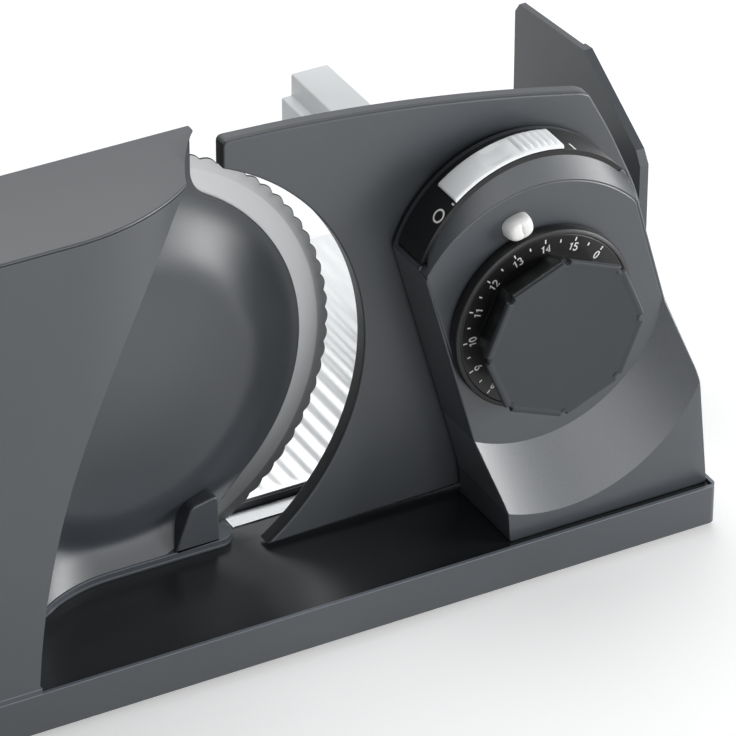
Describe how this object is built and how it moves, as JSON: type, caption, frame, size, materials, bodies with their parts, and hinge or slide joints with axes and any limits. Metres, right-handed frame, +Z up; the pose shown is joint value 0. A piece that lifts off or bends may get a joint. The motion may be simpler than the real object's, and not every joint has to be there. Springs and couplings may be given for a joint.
{
  "type": "electric food slicer",
  "caption": "Electric food slicer with a scalloped blade in a slanted motor housing, a sliding stop plate, a thickness dial, an arc switch, a carriage and a remnant pusher.",
  "frame": {"origin": "centre of the bounding box at the level of the feet", "axes": "+X runs along the base to the dial side, +Y runs to the food side, +Z is up"},
  "size_m": [0.358, 0.2128, 0.1829],
  "materials": {
    "moulded_grey": "fine matte texture",
    "deck_black": "semi-gloss",
    "inner_black": "matte",
    "light_plastic": "satin",
    "white_plastic": "gloss",
    "gear_nylon": "natural nylon",
    "blade_steel": "brushed round",
    "polished_steel": "polished",
    "fastener_steel": "zinc plated",
    "bearing_bronze": "sintered",
    "motor_steel": "plain",
    "copper_winding": "enamelled",
    "foot_rubber": "soft grey",
    "suppressor_yellow": "gloss"
  },
  "bodies": {
    "root": {"base_tray": "deck_black", "bottom_plate": "inner_black", "rubber_feet": "foot_rubber", "base_screws": "fastener_steel", "cord_inlet": "inner_black", "motor_housing": "moulded_grey", "housing_back": "moulded_grey", "housing_screws": "fastener_steel", "blade_axle": "polished_steel", "guide_strip": "polished_steel", "carriage_rail": "polished_steel", "knob_tower": "moulded_grey", "tower_back": "inner_black", "tower_screws": "fastener_steel", "switch_band": "inner_black", "scale_pointer": "white_plastic", "microswitch": "inner_black", "guide_bushes": "bearing_bronze", "motor_can": "motor_steel", "motor_stator": "inner_black", "motor_bracket": "motor_steel", "motor_screws": "fastener_steel", "worm_bearing": "bearing_bronze", "idler_axle": "polished_steel", "suppressor": "suppressor_yellow"},
    "blade_disc": {"blade": "blade_steel", "blade_gear": "gear_nylon", "blade_bush": "bearing_bronze", "blade_screws": "fastener_steel", "blade_cap": "polished_steel"},
    "idler": {"worm_wheel": "gear_nylon", "idler_pinion": "gear_nylon"},
    "rotor": {"motor_shaft": "polished_steel", "armature": "copper_winding", "worm": "polished_steel", "cooling_fan": "light_plastic"},
    "stop": {"stop_plate": "moulded_grey", "guide_pins": "polished_steel", "cam_follower": "light_plastic", "plate_screws": "fastener_steel"},
    "dial": {"scale_disc": "inner_black", "dial_grip": "moulded_grey", "cam_drum": "light_plastic"},
    "switch": {"switch_slider": "light_plastic", "switch_arm": "light_plastic"},
    "carriage": {"carriage_frame": "moulded_grey", "table_sheet": "polished_steel", "guard_wall": "moulded_grey", "runner_blocks": "light_plastic", "glide_pads": "light_plastic", "guard_screws": "fastener_steel"},
    "pusher": {"pusher_body": "light_plastic", "pusher_grip": "light_plastic", "spike_plate": "polished_steel"}
  },
  "joints": [
    {"name": "blade_turn", "type": "hinge", "parent": "root", "child": "blade_disc", "pos_m": [-0.041, -0.04355, 0.091], "axis": [0, 1, 0], "continuous": true},
    {"name": "idler_turn", "type": "hinge", "parent": "root", "child": "idler", "pos_m": [-0.097, -0.04355, 0.10163], "axis": [0, 1, 0], "continuous": true},
    {"name": "rotor_turn", "type": "hinge", "parent": "root", "child": "rotor", "pos_m": [-0.117, -0.07655, 0.091], "axis": [0, 0, 1], "continuous": true},
    {"name": "dial_turn", "type": "hinge", "parent": "root", "child": "dial", "pos_m": [0.102, -0.04355, 0.0983], "axis": [0, -1, 0], "range_deg": [-304.2, 34.2]},
    {"name": "stop_slide", "type": "slide", "parent": "root", "child": "stop", "axis": [0, -1, 0], "range_m": [-0.0135, 0.0015]},
    {"name": "switch_turn", "type": "hinge", "parent": "root", "child": "switch", "pos_m": [0.102, -0.04355, 0.1125], "axis": [0, 1, 0], "range_deg": [0, 20]},
    {"name": "carriage_slide", "type": "slide", "parent": "root", "child": "carriage", "axis": [-1, 0, 0], "range_m": [0, 0.2]},
    {"name": "pusher_slide", "type": "slide", "parent": "carriage", "child": "pusher", "axis": [0, -1, 0], "range_m": [0, 0.056]}
  ],
  "couplings": [
    {"joint": "blade_turn", "follows": "rotor_turn", "ratio": 0.0078125},
    {"joint": "idler_turn", "follows": "rotor_turn", "ratio": -0.041667},
    {"joint": "dial_turn", "follows": "stop_slide", "rad_per_m": 392.7}
  ]
}
